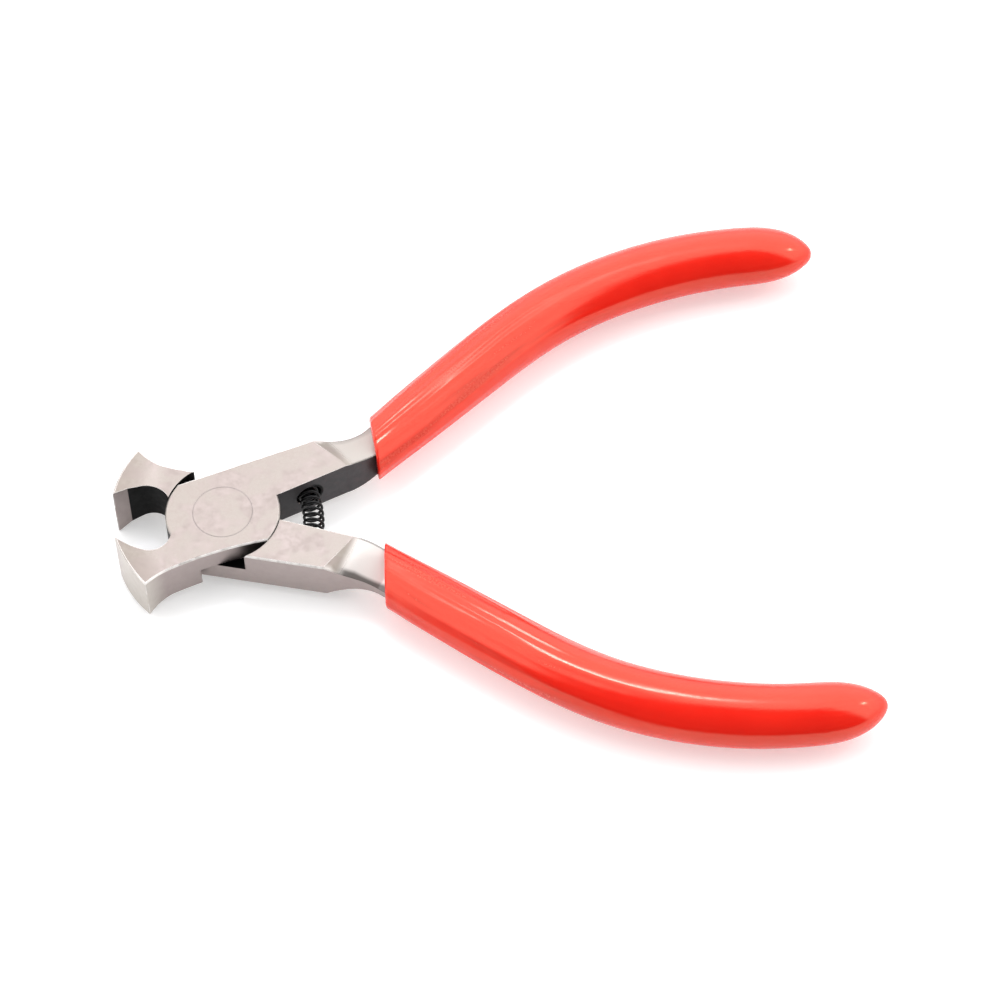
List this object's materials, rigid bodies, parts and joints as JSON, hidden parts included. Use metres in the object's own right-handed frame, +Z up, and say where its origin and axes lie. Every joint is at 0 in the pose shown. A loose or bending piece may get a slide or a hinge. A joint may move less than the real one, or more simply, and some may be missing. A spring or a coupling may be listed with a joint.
{
  "type": "flush end cutter",
  "caption": "Mini end-cutting nipper with a riveted lap joint, flared flush blades, a coil return spring and dipped vinyl handle sleeves.",
  "frame": {"origin": "centre of the bounding box's footprint, on the surface that the open tool lies on", "axes": "+X from the cutting edges to the handle tips, +Y to the right-hand handle, +Z up, along the joint's pivot"},
  "size_m": [0.1076, 0.0912, 0.0098],
  "materials": {
    "ground_steel": "matte ground and lightly tumbled",
    "rivet_steel": "ground flush",
    "spring_steel": "black oxide",
    "red_vinyl": "glossy dipped vinyl"
  },
  "bodies": {
    "left_arm": {"left_half": "ground_steel", "joint_rivet": "rivet_steel", "return_spring": "spring_steel", "left_grip_sleeve": "red_vinyl"},
    "right_arm": {"right_half": "ground_steel", "right_grip_sleeve": "red_vinyl"}
  },
  "joints": [
    {"name": "jaw_pivot", "type": "hinge", "parent": "left_arm", "child": "right_arm", "pos_m": [-0.03809, 0, 0.00493], "axis": [0, 0, -1], "range_deg": [0, 26.6], "stiffness_Nm_per_rad": 0.35, "deforming": ["return_spring"]}
  ]
}
